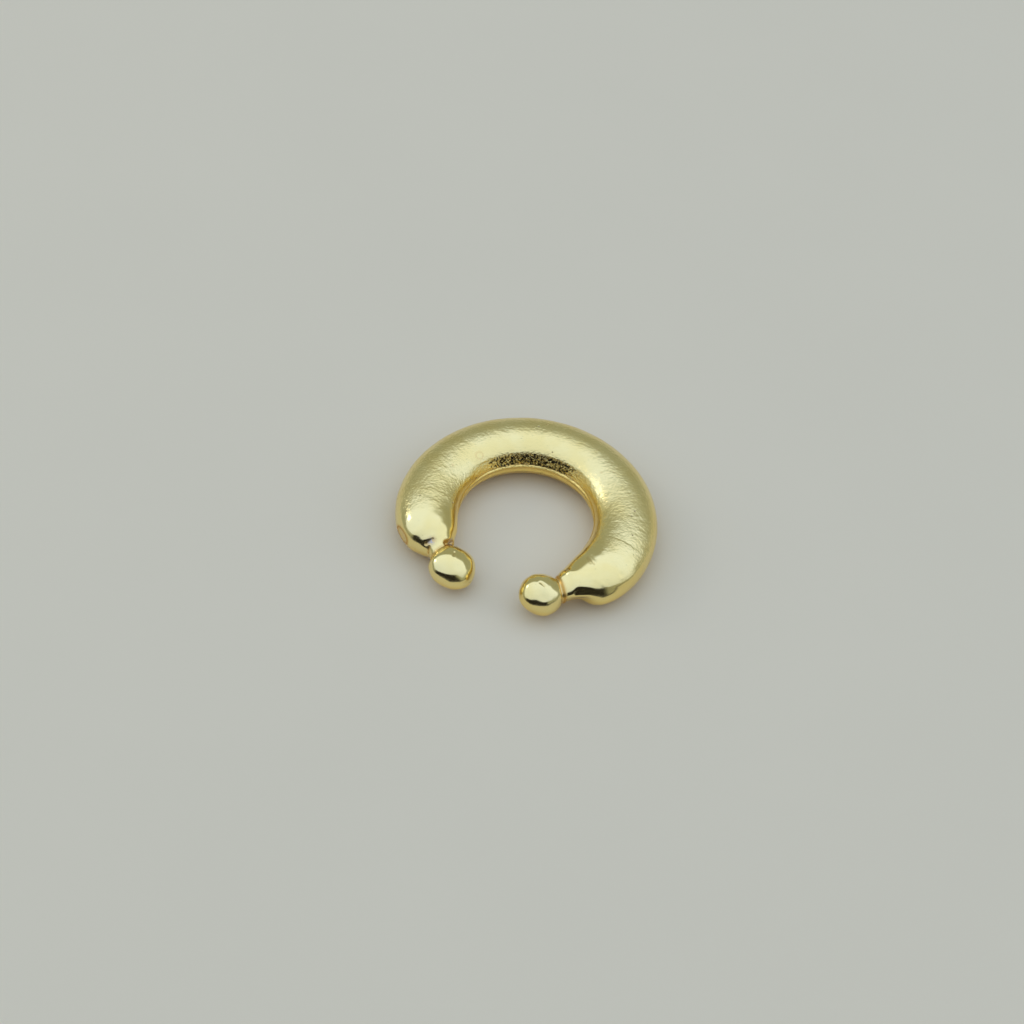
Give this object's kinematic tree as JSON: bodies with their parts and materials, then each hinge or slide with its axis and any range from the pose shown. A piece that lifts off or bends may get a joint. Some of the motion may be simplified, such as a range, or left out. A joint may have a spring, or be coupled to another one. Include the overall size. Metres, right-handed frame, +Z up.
{
  "type": "ear cuff",
  "caption": "Open ear cuff: a fat oval bar bent into a C, with a short neck and a ball at each end, cast in one piece and plated yellow gold.",
  "frame": {"origin": "bottom centre of the bounding box, on the surface that the cuff lies on", "axes": "+Z up, square to the ring; the gap between the balls faces -Y; +X to the right seen from the gap"},
  "size_m": [0.013, 0.0118, 0.0023],
  "materials": {
    "gold_plate": "polished yellow-gold plate over a cast surface, with fine orange peel on the bar and mirror-bright ends"
  },
  "bodies": {
    "root": {"cuff": "gold_plate"}
  },
  "joints": []
}
